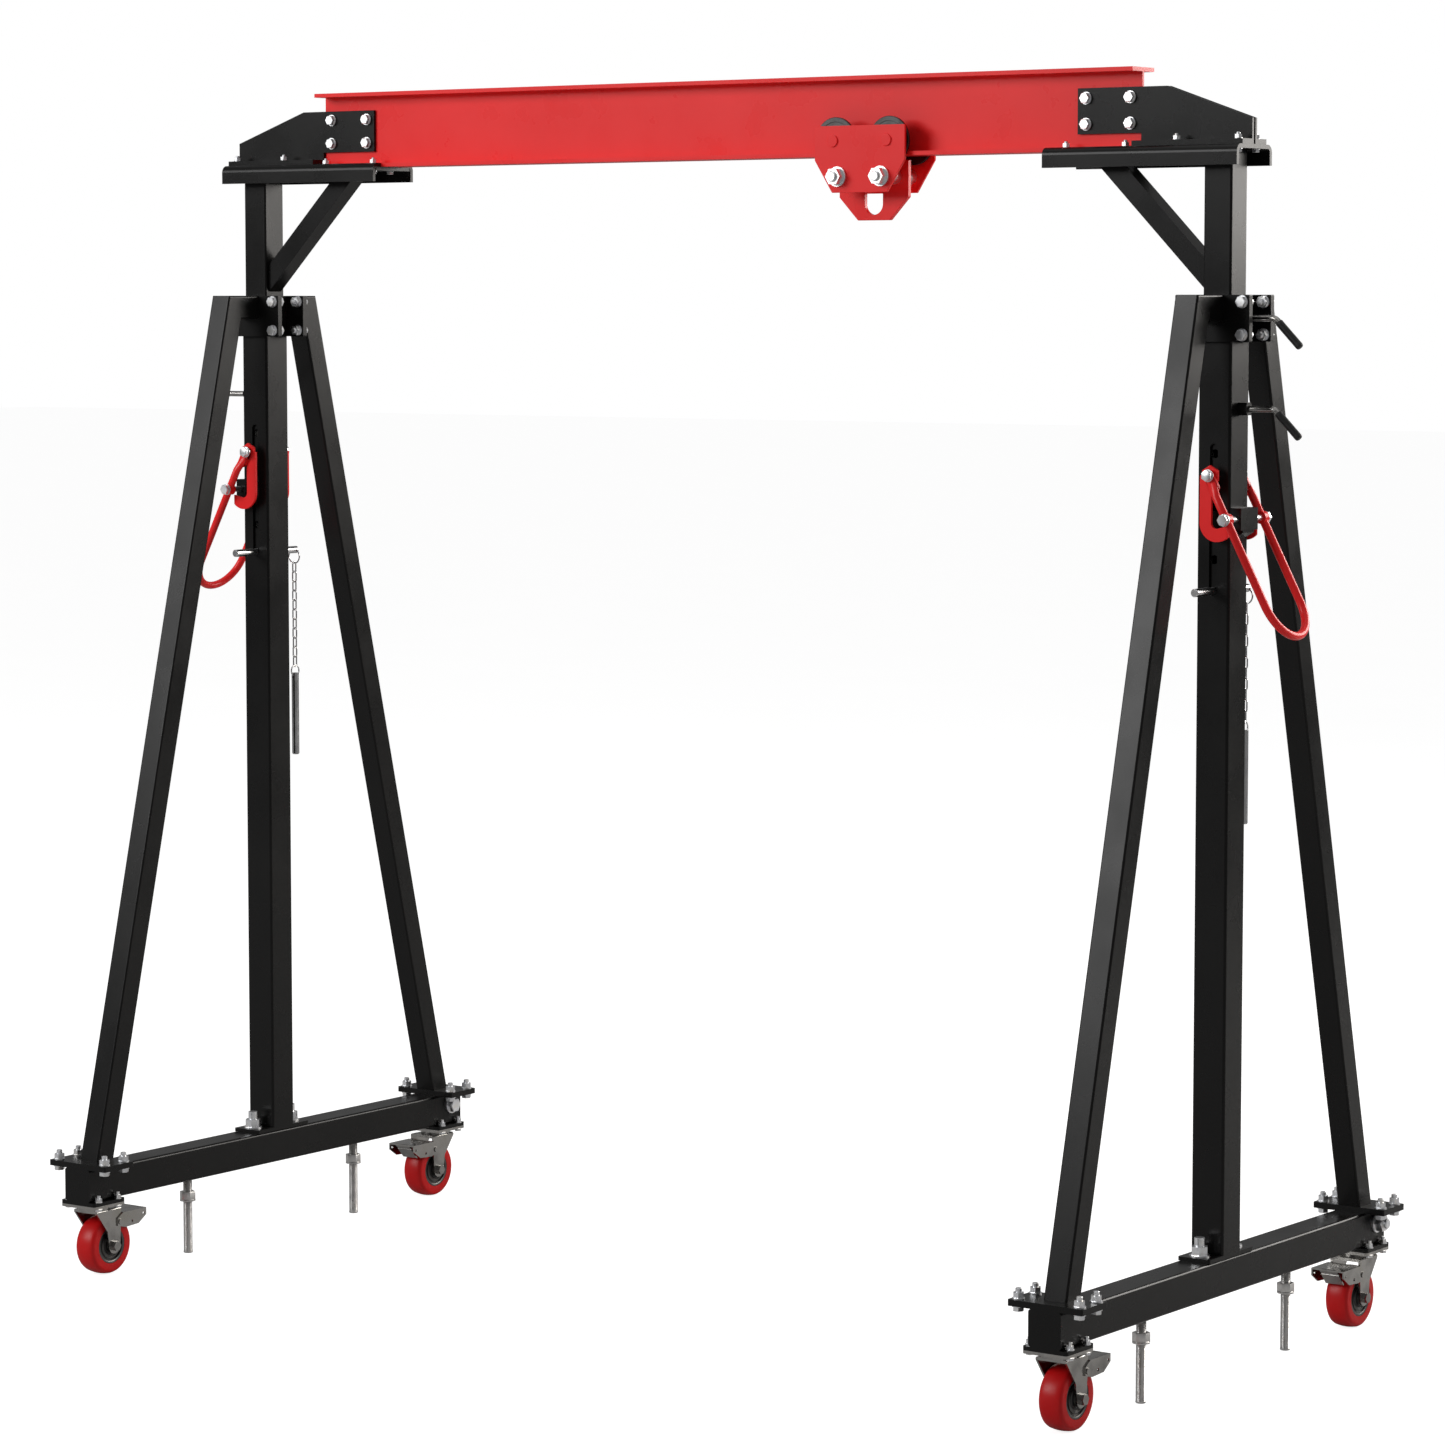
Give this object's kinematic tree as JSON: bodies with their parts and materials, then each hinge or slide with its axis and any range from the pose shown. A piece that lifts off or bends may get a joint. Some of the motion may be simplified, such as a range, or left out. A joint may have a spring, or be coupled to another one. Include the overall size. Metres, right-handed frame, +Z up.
{
  "type": "portable gantry crane",
  "caption": "Adjustable-height gantry crane: an I-beam with a push trolley on two telescoping A-shaped towers that roll on braked swivel casters.",
  "frame": {"origin": "on the floor, midway between the four casters", "axes": "+X along the I-beam, +Y along the base beams to the rear, +Z up"},
  "size_m": [2.741, 1.24, 2.502],
  "materials": {
    "black_paint": "satin black powder coat",
    "red_paint": "gloss red paint",
    "zinc": "bright zinc plate",
    "fastener_zinc": "zinc plated fasteners",
    "bright_steel": "bright drawn steel",
    "jack_steel": "grey threaded steel",
    "grip_rubber": "ribbed black rubber",
    "caster_tyre": "red polyurethane tread",
    "caster_hub": "grey cast aluminium, turned rings",
    "trolley_wheel_iron": "dark grey machined iron"
  },
  "bodies": {
    "left_tower": {"left_base_beam": "black_paint", "left_caster_plates": "zinc", "left_outer_post": "black_paint", "left_front_leg": "black_paint", "left_rear_leg": "black_paint", "left_tower_bolts": "fastener_zinc"},
    "left_lock_pin": {"left_lock_pin": "bright_steel", "left_tether": "bright_steel"},
    "left_lever": {"left_lever": "red_paint"},
    "left_lift_hooks": {"left_lift_hooks": "red_paint"},
    "left_lower_clamp": {"left_lower_clamp_screw": "zinc", "left_lower_grip": "grip_rubber"},
    "left_upper_clamp": {"left_upper_clamp_screw": "zinc", "left_upper_grip": "grip_rubber"},
    "left_front_jack": {"left_front_jack_leg": "jack_steel"},
    "left_front_swivel": {"left_front_fork": "zinc"},
    "left_front_wheel": {"left_front_tyre": "caster_tyre", "left_front_hub": "caster_hub"},
    "left_front_brake": {"left_front_brake_pedal": "zinc"},
    "left_rear_jack": {"left_rear_jack_leg": "jack_steel"},
    "left_rear_swivel": {"left_rear_fork": "zinc"},
    "left_rear_wheel": {"left_rear_tyre": "caster_tyre", "left_rear_hub": "caster_hub"},
    "left_rear_brake": {"left_rear_brake_pedal": "zinc"},
    "right_tower": {"right_base_beam": "black_paint", "right_caster_plates": "zinc", "right_outer_post": "black_paint", "right_front_leg": "black_paint", "right_rear_leg": "black_paint", "right_tower_bolts": "fastener_zinc"},
    "right_lock_pin": {"right_lock_pin": "bright_steel", "right_tether": "bright_steel"},
    "right_lever": {"right_lever": "red_paint"},
    "right_lift_hooks": {"right_lift_hooks": "red_paint"},
    "right_lower_clamp": {"right_lower_clamp_screw": "zinc", "right_lower_grip": "grip_rubber"},
    "right_upper_clamp": {"right_upper_clamp_screw": "zinc", "right_upper_grip": "grip_rubber"},
    "right_front_jack": {"right_front_jack_leg": "jack_steel"},
    "right_front_swivel": {"right_front_fork": "zinc"},
    "right_front_wheel": {"right_front_tyre": "caster_tyre", "right_front_hub": "caster_hub"},
    "right_front_brake": {"right_front_brake_pedal": "zinc"},
    "right_rear_jack": {"right_rear_jack_leg": "jack_steel"},
    "right_rear_swivel": {"right_rear_fork": "zinc"},
    "right_rear_wheel": {"right_rear_tyre": "caster_tyre", "right_rear_hub": "caster_hub"},
    "right_rear_brake": {"right_rear_brake_pedal": "zinc"},
    "bridge": {"i_beam": "red_paint", "left_head_frame": "black_paint", "right_head_frame": "black_paint", "gusset_plates": "black_paint", "bridge_bolts": "fastener_zinc"},
    "trolley": {"trolley_side_plates": "red_paint", "load_plate": "red_paint", "trolley_bolts": "fastener_zinc"},
    "trolley_front_left_wheel": {"trolley_front_left_wheel": "trolley_wheel_iron"},
    "trolley_front_right_wheel": {"trolley_front_right_wheel": "trolley_wheel_iron"},
    "trolley_rear_left_wheel": {"trolley_rear_left_wheel": "trolley_wheel_iron"},
    "trolley_rear_right_wheel": {"trolley_rear_right_wheel": "trolley_wheel_iron"}
  },
  "joints": [
    {"name": "left_lower_clamp_turn", "type": "hinge", "parent": "left_tower", "child": "left_lower_clamp", "pos_m": [-1.25, 0, 1.857], "axis": [-1, 0, 0], "continuous": true},
    {"name": "left_upper_clamp_turn", "type": "hinge", "parent": "left_tower", "child": "left_upper_clamp", "pos_m": [-1.25, 0, 2.027], "axis": [-1, 0, 0], "continuous": true},
    {"name": "left_lock_pin_slide", "type": "slide", "parent": "left_tower", "child": "left_lock_pin", "axis": [0, 1, 0], "range_m": [0, 0.1]},
    {"name": "left_lever_swing", "type": "hinge", "parent": "left_tower", "child": "left_lever", "pos_m": [-1.247, 0, 1.65], "axis": [0, 1, 0], "range_deg": [0, 55]},
    {"name": "left_hooks_hang", "type": "hinge", "parent": "left_lever", "child": "left_lift_hooks", "pos_m": [-1.20334, 0, 1.73211], "axis": [0, 1, 0], "range_deg": [-55, 0]},
    {"name": "left_front_jack_lift", "type": "slide", "parent": "left_tower", "child": "left_front_jack", "axis": [0, 0, 1], "range_m": [0, 0.028]},
    {"name": "left_front_swivel_turn", "type": "hinge", "parent": "left_tower", "child": "left_front_swivel", "pos_m": [-1.2, -0.572, 0.12], "axis": [0, 0, 1], "continuous": true},
    {"name": "left_front_wheel_roll", "type": "hinge", "parent": "left_front_swivel", "child": "left_front_wheel", "pos_m": [-1.2, -0.543, 0.0625], "axis": [1, 0, 0], "continuous": true},
    {"name": "left_front_brake_press", "type": "hinge", "parent": "left_front_swivel", "child": "left_front_brake", "pos_m": [-1.2, -0.528, 0.112], "axis": [-1, 0, 0], "range_deg": [0, 8]},
    {"name": "left_rear_jack_lift", "type": "slide", "parent": "left_tower", "child": "left_rear_jack", "axis": [0, 0, 1], "range_m": [0, 0.028]},
    {"name": "left_rear_swivel_turn", "type": "hinge", "parent": "left_tower", "child": "left_rear_swivel", "pos_m": [-1.2, 0.572, 0.12], "axis": [0, 0, 1], "continuous": true},
    {"name": "left_rear_wheel_roll", "type": "hinge", "parent": "left_rear_swivel", "child": "left_rear_wheel", "pos_m": [-1.2, 0.543, 0.0625], "axis": [1, 0, 0], "continuous": true},
    {"name": "left_rear_brake_press", "type": "hinge", "parent": "left_rear_swivel", "child": "left_rear_brake", "pos_m": [-1.2, 0.528, 0.112], "axis": [1, 0, 0], "range_deg": [0, 8]},
    {"name": "right_lower_clamp_turn", "type": "hinge", "parent": "right_tower", "child": "right_lower_clamp", "pos_m": [1.25, 0, 1.857], "axis": [1, 0, 0], "continuous": true},
    {"name": "right_upper_clamp_turn", "type": "hinge", "parent": "right_tower", "child": "right_upper_clamp", "pos_m": [1.25, 0, 2.027], "axis": [1, 0, 0], "continuous": true},
    {"name": "right_lock_pin_slide", "type": "slide", "parent": "right_tower", "child": "right_lock_pin", "axis": [0, 1, 0], "range_m": [0, 0.1]},
    {"name": "right_lever_swing", "type": "hinge", "parent": "right_tower", "child": "right_lever", "pos_m": [1.247, 0, 1.65], "axis": [0, -1, 0], "range_deg": [0, 55]},
    {"name": "right_hooks_hang", "type": "hinge", "parent": "right_lever", "child": "right_lift_hooks", "pos_m": [1.20334, 0, 1.73211], "axis": [0, -1, 0], "range_deg": [-55, 0]},
    {"name": "right_front_jack_lift", "type": "slide", "parent": "right_tower", "child": "right_front_jack", "axis": [0, 0, 1], "range_m": [0, 0.028]},
    {"name": "right_front_swivel_turn", "type": "hinge", "parent": "right_tower", "child": "right_front_swivel", "pos_m": [1.2, -0.572, 0.12], "axis": [0, 0, 1], "continuous": true},
    {"name": "right_front_wheel_roll", "type": "hinge", "parent": "right_front_swivel", "child": "right_front_wheel", "pos_m": [1.2, -0.543, 0.0625], "axis": [1, 0, 0], "continuous": true},
    {"name": "right_front_brake_press", "type": "hinge", "parent": "right_front_swivel", "child": "right_front_brake", "pos_m": [1.2, -0.528, 0.112], "axis": [-1, 0, 0], "range_deg": [0, 8]},
    {"name": "right_rear_jack_lift", "type": "slide", "parent": "right_tower", "child": "right_rear_jack", "axis": [0, 0, 1], "range_m": [0, 0.028]},
    {"name": "right_rear_swivel_turn", "type": "hinge", "parent": "right_tower", "child": "right_rear_swivel", "pos_m": [1.2, 0.572, 0.12], "axis": [0, 0, 1], "continuous": true},
    {"name": "right_rear_wheel_roll", "type": "hinge", "parent": "right_rear_swivel", "child": "right_rear_wheel", "pos_m": [1.2, 0.543, 0.0625], "axis": [1, 0, 0], "continuous": true},
    {"name": "right_rear_brake_press", "type": "hinge", "parent": "right_rear_swivel", "child": "right_rear_brake", "pos_m": [1.2, 0.528, 0.112], "axis": [1, 0, 0], "range_deg": [0, 8]},
    {"name": "bridge_raise", "type": "slide", "parent": "left_tower", "child": "bridge", "axis": [0, 0, 1], "range_m": [0, 0.35]},
    {"name": "right_tower_raise", "type": "slide", "parent": "bridge", "child": "right_tower", "axis": [0, 0, 1], "range_m": [-0.35, 0]},
    {"name": "trolley_travel", "type": "slide", "parent": "bridge", "child": "trolley", "axis": [1, 0, 0], "range_m": [-1.12, 0.31]},
    {"name": "trolley_front_left_wheel_roll", "type": "hinge", "parent": "trolley", "child": "trolley_front_left_wheel", "pos_m": [0.3415, -0.028, 2.3743], "axis": [0, 1, 0], "range_deg": [-2950, 830]},
    {"name": "trolley_front_right_wheel_roll", "type": "hinge", "parent": "trolley", "child": "trolley_front_right_wheel", "pos_m": [0.4685, -0.028, 2.3743], "axis": [0, 1, 0], "range_deg": [-2950, 830]},
    {"name": "trolley_rear_left_wheel_roll", "type": "hinge", "parent": "trolley", "child": "trolley_rear_left_wheel", "pos_m": [0.3415, 0.028, 2.3743], "axis": [0, 1, 0], "range_deg": [-2950, 830]},
    {"name": "trolley_rear_right_wheel_roll", "type": "hinge", "parent": "trolley", "child": "trolley_rear_right_wheel", "pos_m": [0.4685, 0.028, 2.3743], "axis": [0, 1, 0], "range_deg": [-2950, 830]}
  ],
  "couplings": [
    {"joint": "left_hooks_hang", "follows": "left_lever_swing", "ratio": -1},
    {"joint": "right_hooks_hang", "follows": "right_lever_swing", "ratio": -1},
    {"joint": "right_tower_raise", "follows": "bridge_raise", "ratio": -1},
    {"joint": "trolley_front_left_wheel_roll", "follows": "trolley_travel", "rad_per_m": 45.455},
    {"joint": "trolley_front_right_wheel_roll", "follows": "trolley_travel", "rad_per_m": 45.455},
    {"joint": "trolley_rear_left_wheel_roll", "follows": "trolley_travel", "rad_per_m": 45.455},
    {"joint": "trolley_rear_right_wheel_roll", "follows": "trolley_travel", "rad_per_m": 45.455}
  ]
}
